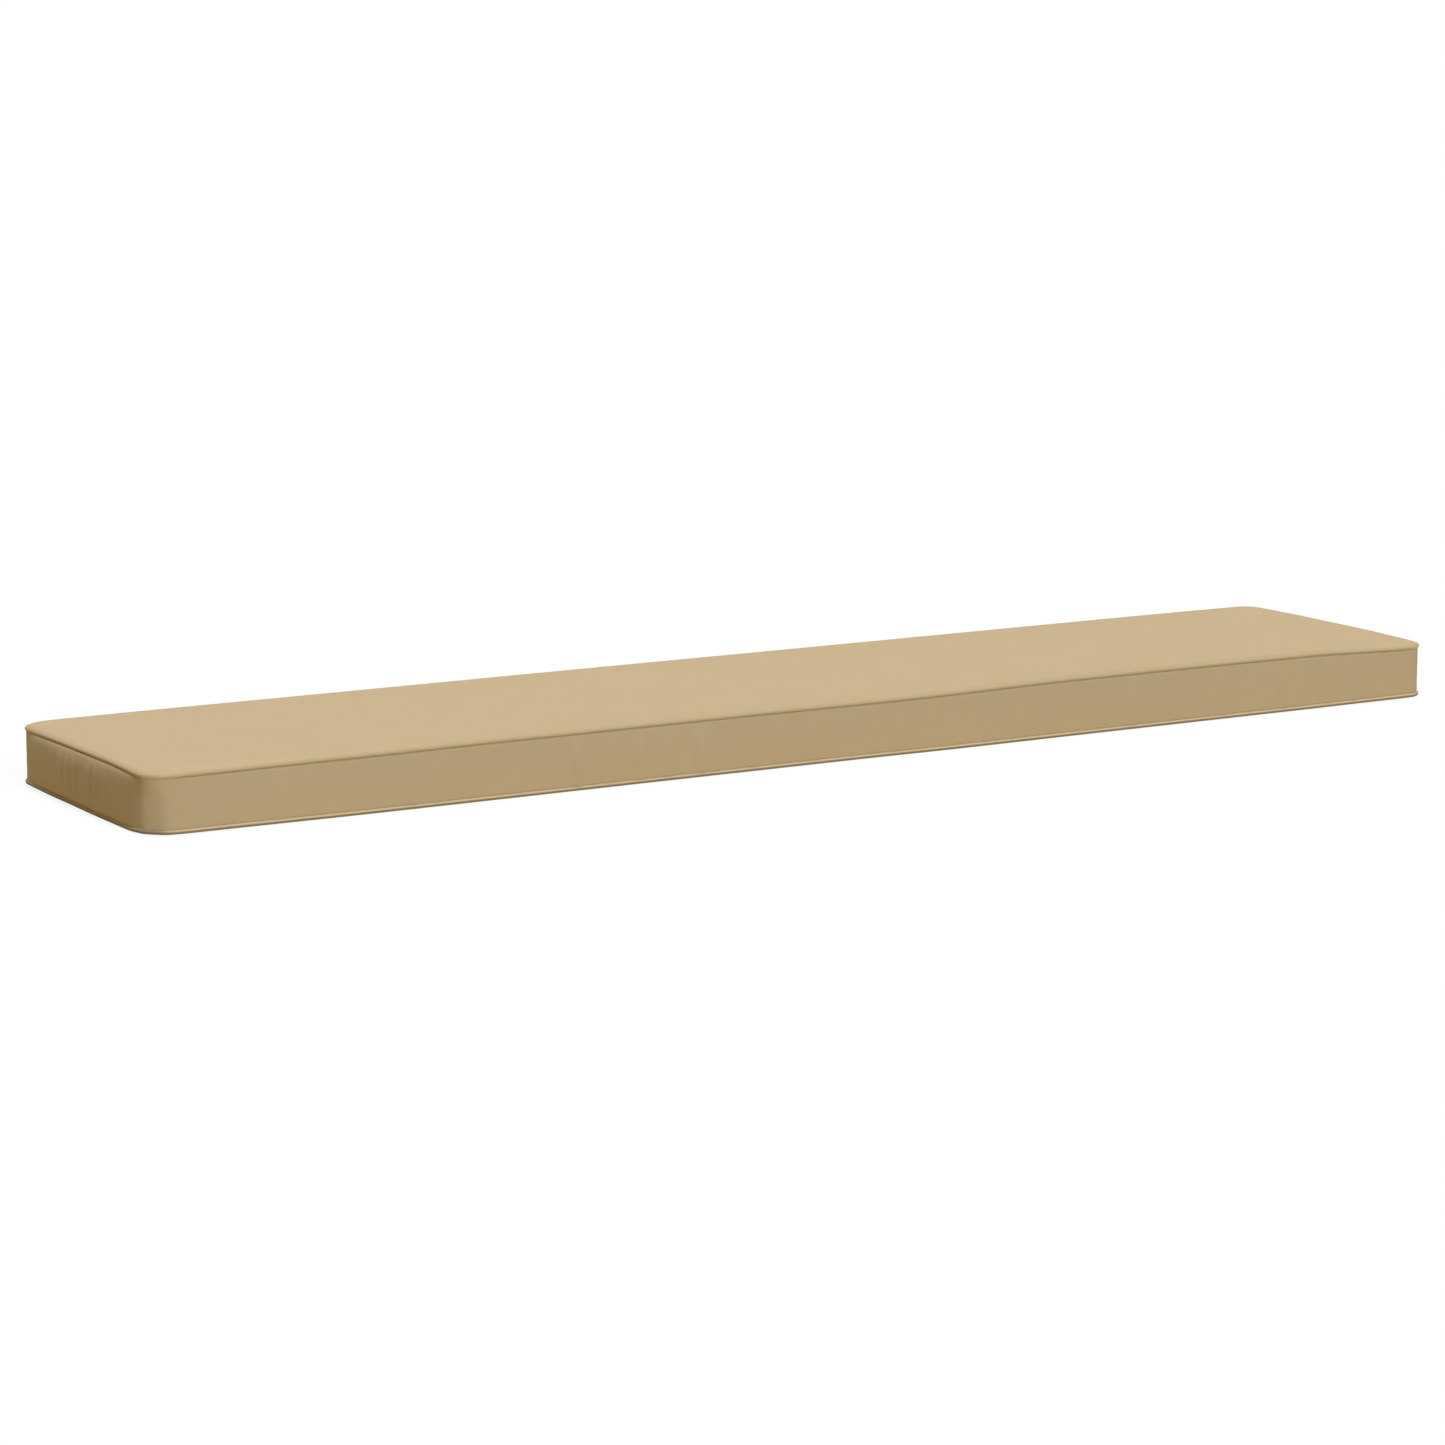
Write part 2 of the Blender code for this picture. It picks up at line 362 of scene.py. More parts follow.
@dataclass
class Seams:
    """Where the two piped seams run.

    The bottom seam is pulled in at every corner, and its front left corner is rounder still.
    """

    outline: Outline
    piping_radius: float = 0.0030
    bottom_level: float = 0.0032
    top_level: float = 0.0771
    top_drawn_in: float = 0.0022
    bottom_corner_tuck: float = 0.0015
    corner_reach: float = 0.060
    front_left_rounding: float = 0.0052
    front_left_reach: float = 0.045

    def near_corner(self, walk: Walk) -> np.ndarray:
        """1 at the middle of each corner, easing to 0 along the sides."""
        return 1.0 - ease(walk.from_corner / self.corner_reach)

    def rounder_corner(self, walk: Walk) -> np.ndarray:
        """How far the front left corner's lower part lies inside its top seam."""
        away = np.minimum(walk.travel, self.outline.perimeter - walk.travel)
        return self.front_left_rounding * (1.0 - ease(away / self.front_left_reach))

    def bottom_inset(self, walk: Walk) -> np.ndarray:
        """Inset of the bottom piping's centre line, which is pulled in a little at the corners."""
        tuck = self.bottom_corner_tuck * self.near_corner(walk)
        return self.piping_radius + tuck + self.rounder_corner(walk)

    def top_inset(self, walk: Walk) -> np.ndarray:
        """Inset of the top piping's centre line."""
        return np.full(walk.count, self.piping_radius + self.top_drawn_in)

    def top(self, walk: Walk) -> np.ndarray:
        """Heights of the top piping's centre line."""
        return walk.seam_height(self.top_level, TOP_SEAM)

    def bottom(self, walk: Walk) -> np.ndarray:
        """Heights of the bottom piping's centre line."""
        return walk.seam_height(self.bottom_level, BOTTOM_SEAM)


@dataclass(frozen=True)
class CanvasFinish:
    """Plain-woven polyester canvas, piece dyed: matt, dense, a faint thread relief up close.

    The real threads are about 0.5 mm apart. They are drawn at 1 mm, because finer ones
    turn to noise in a picture of a two metre cushion. Thick places in the yarn, or slubs, and
    a slightly uneven dye keep it from looking flat, and its short fibres give a weak sheen.
    """

    name: str
    colour: str
    gap_colour: str
    thread_mm: float = 1.0
    thread_flatness: float = 0.3
    relief_mm: float = 0.05
    bias: float = 0.0
    gap_darkening: float = 0.35
    mottle: float = 0.02
    dye_patches_per_metre: float = 7.0
    slubs_per_metre: tuple[float, float] = (25.0, 900.0)
    pucker_mm: float = 0.25
    pucker_spacing_mm: float = 7.0
    pucker_stretch: float = 4.0
    pucker_reach_mm: float = 9.0
    # How far full painted shade darkens the cloth
    painted_shade_depth: float = 0.4
    roughness: float = 0.86
    specular: float = 0.25
    sheen: float = 0.12
    sheen_roughness: float = 0.55
    sheen_tint: str = "#F1E4C8"

    def build(self) -> Material:
        """Make the material.

        Returns:
            A Principled material whose weave reads the piece's own UV map in metres.
        """
        material = bpy.data.materials.new(self.name)
        material.use_nodes = True
        tree = material.node_tree
        tree.nodes.clear()
        metres = add_node(tree, "ShaderNodeUVMap", uv_map="weave")
        threads_per_metre = (1 / (self.thread_mm * MM),) * 3
        turned = {"Vector": metres, "Rotation": (0.0, 0.0, self.bias), "Scale": threads_per_metre}
        threads = add_node(tree, "ShaderNodeMapping", turned)
        height, gap = self._weave(tree, threads)
        cloth = {
            "Base Color": self._colour(tree, metres, gap),
            "Normal": self._relief(tree, height),
            "Roughness": self.roughness,
            "Specular IOR Level": self.specular,
            "Sheen Weight": self.sheen,
            "Sheen Roughness": self.sheen_roughness,
            "Sheen Tint": srgb_to_linear(self.sheen_tint),
        }
        shader = add_node(tree, "ShaderNodeBsdfPrincipled", cloth)
        add_node(tree, "ShaderNodeOutputMaterial", {"Surface": shader})
        return material

    def _weave(self, tree: NodeTree, threads: Node) -> tuple[Node, Node]:
        """Plain weave: each thread passes over one and under the next.

        Args:
            tree: The material's nodes.
            threads: Coordinates in threads.

        Returns:
            The height of the threads, and how deep in a gap a point is.
        """
        split = add_node(tree, "ShaderNodeSeparateXYZ", {"Vector": threads})
        made: dict[str | float, Node | NodeSocket] = {"x": split.outputs["X"], "y": split.outputs["Y"]}
        for name, operation, first, second in (
            ("warp_turns", "MULTIPLY", "x", math.pi),
            ("weft_turns", "MULTIPLY", "y", math.pi),
            ("warp_wave", "SINE", "warp_turns", 0.0),
            ("weft_wave", "SINE", "weft_turns", 0.0),
            ("warp", "ABSOLUTE", "warp_wave", 0.0),
            ("weft", "ABSOLUTE", "weft_wave", 0.0),
            ("flat_warp", "POWER", "warp", self.thread_flatness),
            ("flat_weft", "POWER", "weft", self.thread_flatness),
            ("over", "MULTIPLY", "warp", "flat_weft"),
            ("under", "MULTIPLY", "weft", "flat_warp"),
            ("crossing", "MULTIPLY", "warp_wave", "weft_wave"),
            ("warp_on_top", "GREATER_THAN", "crossing", 0.0),
        ):
            terms = {0: made[first], 1: made.get(second, second)}
            made[name] = add_node(tree, "ShaderNodeMath", terms, operation=operation)
        layers = {0: made["warp_on_top"], 2: made["under"], 3: made["over"]}
        height = add_node(tree, "ShaderNodeMix", layers, data_type="FLOAT")
        gap = add_node(tree, "ShaderNodeMath", {0: 1.0, 1: height}, operation="SUBTRACT")
        return height, gap

    def _colour(self, tree: NodeTree, metres: Node, gap: Node) -> NodeSocket:
        """Cloth colour: darker between the threads, with a faint uneven dye, and darkened by the mesh's
        painted shade.

        Args:
            tree: The material's nodes.
            metres: The UV map in metres.
            gap: How deep in a gap a point is.

        Returns:
            The colour's socket.
        """
        patches = self.dye_patches_per_metre
        dyed = {"Vector": metres, "Scale": patches, "Detail": 3.0, "Roughness": 0.55}
        cloudy = add_node(tree, "ShaderNodeTexNoise", dyed)
        slubs = {"Vector": metres, "Scale": (*self.slubs_per_metre, 1.0)}
        stretched = add_node(tree, "ShaderNodeMapping", slubs)
        streaks = add_node(tree, "ShaderNodeTexNoise", {"Vector": stretched, "Scale": 1.0, "Detail": 2.0})
        mixed = add_node(tree, "ShaderNodeMath", {0: cloudy, 1: streaks}, operation="ADD")
        # Two noises added lie mostly between 0.6 and 1.4
        mottled = {
            "Value": mixed,
            "From Min": 0.6,
            "From Max": 1.4,
            "To Min": 1.0 - self.mottle,
            "To Max": 1.0 + self.mottle,
        }
        # Painted shade: an attribute of the mesh, from 0 to 1, darkens the cloth by up to its full depth
        painted_shade = add_node(tree, "ShaderNodeAttribute", attribute_name="painted_shade").outputs["Fac"]
        shade_levels = {"Value": painted_shade, "To Min": 1.0, "To Max": 1.0 - self.painted_shade_depth}
        depth = add_node(tree, "ShaderNodeMath", {0: gap, 1: self.gap_darkening}, operation="MULTIPLY")
        shades = {0: depth, 6: srgb_to_linear(self.colour), 7: srgb_to_linear(self.gap_colour)}
        colour = add_node(tree, "ShaderNodeMix", shades, data_type="RGBA").outputs[2]
        for levels in (mottled, shade_levels):
            scaled = {0: colour, "Scale": add_node(tree, "ShaderNodeMapRange", levels)}
            colour = add_node(tree, "ShaderNodeVectorMath", scaled, operation="SCALE").outputs[0]
        return colour

    def _relief(self, tree: NodeTree, height: Node) -> Node:
        """Thread relief, and the small puckers that the hidden stitches pull in the cloth.

        Args:
            tree: The material's nodes.
            height: The threads' height.

        Returns:
            The node that gives the normal.
        """
        seam_uv = add_node(tree, "ShaderNodeUVMap", uv_map="seam_run")
        along = 1 / (self.pucker_spacing_mm * MM)
        stretch = {"Vector": seam_uv, "Scale": (along, along / self.pucker_stretch, 1.0)}
        stretched = add_node(tree, "ShaderNodeMapping", stretch)
        noise = {"Vector": stretched, "Scale": 1.0, "Detail": 2.0, "Roughness": 0.6}
        uneven = add_node(tree, "ShaderNodeTexNoise", noise)
        away = add_node(tree, "ShaderNodeSeparateXYZ", {"Vector": seam_uv}).outputs["Y"]
        reach = {"Value": away, "From Max": self.pucker_reach_mm * MM, "To Min": 1.0, "To Max": 0.0}
        fade = add_node(tree, "ShaderNodeMapRange", reach, interpolation_type="SMOOTHSTEP")
        pulled = add_node(tree, "ShaderNodeMath", {0: uneven, 1: fade}, operation="MULTIPLY")
        puckers = {"Strength": 1.0, "Distance": self.pucker_mm * MM, "Height": pulled}
        puckered = add_node(tree, "ShaderNodeBump", puckers)
        relief = {"Strength": 1.0, "Distance": self.relief_mm * MM, "Height": height, "Normal": puckered}
        return add_node(tree, "ShaderNodeBump", relief)


# One cloth throughout. Its colours are matched to the photograph under the studio's lights, which
# gives a seat panel a little paler than the band: the band's darker, warmer colour is painted shade
# for its upright sides. The underside is taken to be like the band.
SEAT = CanvasFinish("sand_canvas_seat", "#BAA17C", "#837051")
BAND = CanvasFinish("sand_canvas_band", "#A0886A", "#715F45")
UNDERSIDE = replace(BAND, name="sand_canvas_underside")
# The same canvas cut at 45 degrees to its threads, so that it stretches round the cord: the weave
# runs across the bead on the slant. The bottom piping's copy carries deeper painted shade, darkest
# where it turns under the cushion.
BIAS_CUT = CanvasFinish("bias_cut_piping_canvas", "#B59B76", "#837051", bias=math.pi / 4)
BIAS_CUT_SHADED_BELOW = replace(BIAS_CUT, name="bias_cut_piping_canvas_shaded_below", painted_shade_depth=0.72)


class ClothMesh:
    """A mesh of cloth with two UV maps in metres: the weave, and the run of the seams."""

    def __init__(self) -> None:
        """Start with an empty mesh."""
        self.builder = bmesh.new()
        self.weave = self.builder.loops.layers.uv.new("weave")
        self.seam_run = self.builder.loops.layers.uv.new("seam_run")

    def add_face(
        self,
        corners: list[BMVert],
        zone: Zone,
        seam_run: list[tuple[float, float]] | None = None,
        weave: list[tuple[float, float]] | None = None,
        smooth: bool = True,
    ) -> None:
        """Add a face of cloth.

        Args:
            corners: Its corners in order.
            zone: The cut piece that it belongs to.
            seam_run: How far along its seam and away from it each corner lies, or None if far.
            weave: Each corner's place in the weave, or None where the cloth lies level.
            smooth: Whether it is shaded smooth.
        """
        face = self.builder.faces.new(corners)
        face.material_index = zone.value
        face.smooth = smooth
        for number, loop in enumerate(face.loops):
            loop[self.seam_run].uv = seam_run[number] if seam_run else FAR_FROM_SEAM
            loop[self.weave].uv = weave[number] if weave else loop.vert.co.xy

    def finish(self, name: str) -> Mesh:
        """Turn it into a mesh with this name."""
        mesh = bpy.data.meshes.new(name)
        self.builder.to_mesh(mesh)
        self.builder.free()
        return mesh


@dataclass
class Rings:
    """Rings of the cover in order: their points, zones and distances from the nearest seam."""

    outline: Outline
    walk: Walk
    points: list[np.ndarray] = field(default_factory=list)
    zones: list[Zone] = field(default_factory=list)
    distances: list[float] = field(default_factory=list)

    def add(
        self, inset: np.ndarray | float, height: np.ndarray | float, zone: Zone, from_seam: float = 0.0
    ) -> None:
        """Keep one more ring.

        Args:
            inset: How far inside the outline it runs.
            height: How high.
            zone: The cloth between it and the next ring.
            from_seam: Its distance from the nearest seam.
        """
        self.points.append(self.outline.points(self.walk, inset, height))
        self.zones.append(zone)
        self.distances.append(from_seam)


@dataclass
class CushionCover:
    """The filled canvas cover: crowned seat panel, boxing band and flat underside.

    The seat rises over a steep shoulder to its crown and sinks towards the corners and the
    front. The band bulges along the ends, is drawn in at the corners, and turns into its seams
    over a tight and a wide reach. Each groove starts and ends at an angle round its cord, in
    degrees from straight outwards.
    """

    outline: Outline
    seams: Seams
    crown_height: float
    finishes: tuple[CanvasFinish, CanvasFinish, CanvasFinish]
    long_cells: int = 400
    short_cells: int = 82
    shoulder_width: float = 0.020
    shoulder_roundness: float = 2.5
    corner_sink: float = 0.24
    front_sink: float = 0.50
    corner_sink_reach: float = 0.200
    belly_inset: float = 0.0017
    end_swell: float = 0.0042
    corner_tuck: float = 0.0024
    rounding_from_top: float = 0.5
    long_tight_share: float = 0.75
    end_tight_share: float = 0.30
    tight_reach: float = 0.0010
    wide_reach: float = 0.0052
    underside_roll: float = 0.012
    groove_band_angle: float = -68.0
    groove_end_angle: float = -270.0
    groove_long_angle: float = -286.0
    groove_steps: int = 6
    band_rows: int = 26
    seam_clearance: float = 0.00012
    lip_bite: float = 0.00015
    ripple_fullness: float = 1.15
    hidden_ripple_spacing: float = 0.085
    hidden_ripple_widths: tuple[float, float] = (0.018, 0.032)
    hidden_ripple_heights_mm: tuple[float, float] = (0.4, 1.0)
    hidden_ripple_lows: tuple[float, float] = (0.5, 0.7)
    # Painted shade near the seams on the front and the back: its reach and strength on the band, then on
    # the seat's shoulder
    seam_shade_reach: float = 0.0020
    seam_shade_share: float = 0.60
    shoulder_shade_reach: float = 0.014
    shoulder_shade_share: float = 0.22
    seed: int = 11
    walk: Walk = field(init=False)

    def __post_init__(self) -> None:
        """Walk the outline once."""
        self.walk = self.outline.walk(self.long_cells, self.short_cells)

    def swell(self) -> tuple[np.ndarray, np.ndarray]:
        """How far the band's ripples stand out at every slice, and where they are strongest.

        Returns:
            Heights in metres, and their strongest row from 0 at the top to 1 at the bottom.
        """
        heights = np.zeros(self.walk.count)
        strongest = np.full(self.walk.count, USUAL_LOW)
        for side, ripples in self._all_ripples().items():
            mine = self.walk.side == side.value
            for ripple in ripples:
                away = np.abs(self.walk.along - ripple.centre) / ripple.width
                shape = np.where(away < 1.0, np.cos(np.clip(away, 0, 1) * math.pi / 2) ** 2, 0.0)
                wave = shape * ripple.height_mm * MM * mine
                stronger = wave > heights
                strongest = np.where(stronger, ripple.low, strongest)
                heights = np.maximum(heights, wave)
        return heights, strongest

    def _all_ripples(self) -> dict[Side, tuple[Ripple, ...]]:
        """The ripples that show, and like ones on the two sides that don't.

        Returns:
            The ripples of every side.
        """
        drawn = random.Random(self.seed)
        every = dict(RIPPLES)
        for side, half_run in ((Side.BACK, self.outline.core[0]), (Side.RIGHT, self.outline.core[1])):
            count = int(half_run * 2 / self.hidden_ripple_spacing)
            every[side] = tuple(
                Ripple(
                    drawn.uniform(-half_run, half_run),
                    drawn.uniform(*self.hidden_ripple_widths),
                    drawn.uniform(*self.hidden_ripple_heights_mm),
                    drawn.uniform(*self.hidden_ripple_lows),
                )
                for _ in range(count)
            )
        return every

    def groove(
        self, seam_inset: np.ndarray, seam_height: np.ndarray, upside_down: bool
    ) -> list[tuple[np.ndarray, np.ndarray]]:
        """The groove that a piping lies in, from the band round to the panel.

        Both lips are sewn hard against the cord, so they reach a little way into its soft cover.

        Args:
            seam_inset: Inset of the piping's centre at every slice.
            seam_height: Its height at every slice.
            upside_down: True at the bottom seam.

        Returns:
            The insets and heights of each row.
        """
        on_long_side = self.walk.out[:, 1] ** 2
        last = self.groove_end_angle + (self.groove_long_angle - self.groove_end_angle) * on_long_side
        step = np.radians(last - self.groove_band_angle) / self.groove_steps
        clear = (self.seams.piping_radius + self.seam_clearance) / np.cos(step / 2)
        turn = -1.0 if upside_down else 1.0
        rows = []
        for number in range(self.groove_steps + 1):
            angle = math.radians(self.groove_band_angle) + step * number
            is_lip = number in (0, self.groove_steps)
            reach = self.seams.piping_radius - self.lip_bite if is_lip else clear
            rows.append((seam_inset - reach * np.cos(angle), seam_height + turn * reach * np.sin(angle)))
        return rows

    def panel_height(self, away: float, start: tuple[np.ndarray, np.ndarray]) -> np.ndarray:
        """Height of the seat panel at a distance inside its seam.

        Args:
            away: Distance inside the seam.
            start: Insets and heights where the panel leaves its seam.

        Returns:
            One height for each slice: a steep shoulder, then the crown.
        """
        flat = self.outline.points(self.walk, start[0] + away, 0.0)
        corner_distance = (
            self.outline.length / 2 - np.abs(flat[:, 0]) + self.outline.depth / 2 - np.abs(flat[:, 1])
        )
        near_corner = np.clip(1.0 - corner_distance / self.corner_sink_reach, 0.0, 1.0)
        near_front = np.clip(0.5 - flat[:, 1] / self.outline.depth, 0.0, 1.0)
        fullness = 1.0 - self.corner_sink * near_corner**2 - self.front_sink * near_front**2
        share = min(1.0, away / self.shoulder_width)
        seam = np.maximum(self.seams.top(self.walk), self.seams.top_level)
        level = seam + self.seams.piping_radius
        target = level + (self.crown_height - level) * fullness
        return start[1] + (target - start[1]) * (1.0 - (1.0 - share) ** self.shoulder_roundness)

    def rings(self) -> Rings:
        """All rings of the cover, from the middle of the underside round to the crown.

        Returns:
            The rings.
        """
        walk = self.walk
        bottom = self.groove(self.seams.bottom_inset(walk), self.seams.bottom(walk), upside_down=True)
        top = self.groove(self.seams.top_inset(walk), self.seams.top(walk), upside_down=False)
        rings = Rings(self.outline, walk)
        start_inset, start_height = bottom[-1]
        for share in UNDERSIDE_SHARES:
            away = self.underside_roll * share
            rings.add(start_inset + away, start_height * (1.0 - share) ** 2, Zone.UNDER_PANEL, away)
        for inset, height in reversed(bottom):
            rings.add(inset, height, Zone.UNDER_PANEL)
        rings.zones[-1] = Zone.BAND
        self._add_band(rings, bottom[0], top[0])
        for inset, height in top:
            rings.add(inset, height, Zone.BAND)
        # The seat panel reaches a little way into the groove, so no band shows beside it
        rings.zones[-2:] = [Zone.SEAT_PANEL, Zone.SEAT_PANEL]
        for share in SHOULDER_SHARES:
            away = self.shoulder_width * share
            rings.add(top[-1][0] + away, self.panel_height(away, top[-1]), Zone.SEAT_PANEL, away)
        return rings

    def _add_band(
        self, rings: Rings, low: tuple[np.ndarray, np.ndarray], high: tuple[np.ndarray, np.ndarray]
    ) -> None:
        """Add the band's rings between the two grooves, closer together near the seams.

        Args:
            rings: The rings so far.
            low: Insets and heights of the bottom groove's lip.
            high: Insets and heights of the top groove's lip.
        """
        heights, strongest = self.swell()
        middle = self.belly()
        rounder = self.seams.rounder_corner(self.walk)
        shares = 0.5 - 0.5 * np.cos(np.linspace(0, math.pi, self.band_rows + 1)[1:-1])
        drop = float(np.mean(high[1]) - np.mean(low[1]))
        for share in shares:
            down = 1.0 - share
            spread = np.where(down < strongest, down / strongest, (1 - down) / (1 - strongest))
            ripple = heights * ease(spread * self.ripple_fullness)
            belly = middle + rounder * ease(down / self.rounding_from_top)
            inset = (
                belly
                + (high[0] - belly) * self.tuck(drop * down)
                + (low[0] - belly) * self.tuck(drop * share)
                - ripple
            )
            height = low[1] + (high[1] - low[1]) * share
            rings.add(inset, height, Zone.BAND, drop * min(share, down))

    def tuck(self, away: float) -> np.ndarray:
        """How much of the way in to its seam the band still is, at a distance from that seam.

        Args:
            away: Distance down or up the band from the seam.

        Returns:
            A share from 0 to 1 for each slice: a sharp turn along the front and the back,
            where the cover is pulled tight, and a rounder one on the ends.
        """
        on_end = self.walk.out[:, 0] ** 2
        tight = self.long_tight_share + (self.end_tight_share - self.long_tight_share) * on_end
        return tight * math.exp(-away / self.tight_reach) + (1.0 - tight) * math.exp(
            -away / self.wide_reach
        )

    def belly(self) -> np.ndarray:
        """Inset of the band's middle: fuller along each end, tight at the corners."""
        drawn_in = self.corner_tuck * self.seams.near_corner(self.walk)
        return self.belly_inset - self.end_swell * self.walk.mid_end + drawn_in

    def build(self) -> Object:
        """Loft the rings, close the panels, and dress the cloth.

        Returns:
            The finished cover.
        """
        rings = self.rings()
        cloth = ClothMesh()
        grid = [[cloth.builder.verts.new(point) for point in ring] for ring in rings.points]
        lengths = self._band_lengths(rings.points)
        travel = [*self.walk.travel, self.outline.perimeter]
        for row, zone in enumerate(rings.zones[:-1]):
            levels = (row, row, row + 1, row + 1)
            for here in range(self.walk.count):
                after = (here + 1) % self.walk.count
                slices = (here, after, after, here)
                corners = [grid[level][place] for level, place in zip(levels, slices)]
                run = (travel[here], travel[here + 1], travel[here + 1], travel[here])
                seam_run = [(gone, rings.distances[level]) for gone, level in zip(run, levels)]
                weave = [(gone, lengths[level]) for gone, level in zip(run, levels)]
                cloth.add_face(corners, zone, seam_run, weave if zone is Zone.BAND else None)
        cloth.add_face(grid[0][::-1], Zone.UNDER_PANEL, smooth=False)
        self._close_seat(cloth, grid[-1])
        mesh = cloth.finish("padded_cover")
        self._paint_seam_shade(mesh, rings)
        for finish in self.finishes:
            mesh.materials.append(finish.build())
        return add_object("padded_cover", mesh)

    def _paint_seam_shade(self, mesh: Mesh, rings: Rings) -> None:
        """Write the painted shade of each point of the cloth, from 0 to 1: darker near the seams along
        the front and the back, on the band and on the seat's shoulder.

        Args:
            mesh: The cover, whose first points are the rings in order.
            rings: The rings.
        """
        depth = np.zeros(len(mesh.vertices))
        on_long_side = self.walk.out[:, 1] ** 2
        reach = {Zone.BAND: self.seam_shade_reach, Zone.SEAT_PANEL: self.shoulder_shade_reach}
        share = {Zone.BAND: self.seam_shade_share, Zone.SEAT_PANEL: self.shoulder_shade_share}
        for row, (zone, away) in enumerate(zip(rings.zones, rings.distances)):
            if zone in reach:
                near = (1.0 - ease(away / reach[zone])) * share[zone]
                depth[row * self.walk.count:(row + 1) * self.walk.count] = near * on_long_side
        write_painted_shade(mesh, depth)

    @staticmethod
    def _band_lengths(rings: list[np.ndarray]) -> list[float]:
        """Measure the cloth from ring to ring, a fifth of the way round, on the front.

        Args:
            rings: The points of each ring.

        Returns:
            The length from the first ring to each ring.
        """
        path = [ring[len(ring) // 5] for ring in rings]
        lengths = [0.0]
        for before, after in zip(path, path[1:]):
            lengths.append(lengths[-1] + float(np.linalg.norm(after - before)))
        return lengths

    def _close_seat(self, cloth: ClothMesh, ring: list[BMVert]) -> None:
        """Close the seat panel with a grid of square cells between the ring's four sides.

        Args:
            cloth: The mesh being made.
            ring: The innermost ring of the seat panel.
        """
        wide, deep = self.long_cells, self.short_cells
        front = ring[0:wide + 1]
        right = ring[wide:wide + deep + 1]
        back = ring[wide + deep:2 * wide + deep + 1][::-1]
        left = (ring[2 * wide + deep:] + ring[:1])[::-1]
        columns = [left]
        for i in range(1, wide):
            share_x = i / wide
            column = [front[i]]
            for j in range(1, deep):
                share_y = j / deep
                across = front[i].co * (1 - share_y) + back[i].co * share_y
                beside = left[j].co * (1 - share_x) + right[j].co * share_x
                corners = (
                    (front[0].co * (1 - share_x) + front[-1].co * share_x) * (1 - share_y)
                    + (back[0].co * (1 - share_x) + back[-1].co * share_x) * share_y
                )
                column.append(cloth.builder.verts.new(across + beside - corners))
            column.append(back[i])
            columns.append(column)
        columns.append(right)
        for i in range(wide):
            for j in range(deep):
                cell = [columns[i][j], columns[i + 1][j], columns[i + 1][j + 1], columns[i][j + 1]]
                cloth.add_face(cell, Zone.SEAT_PANEL)


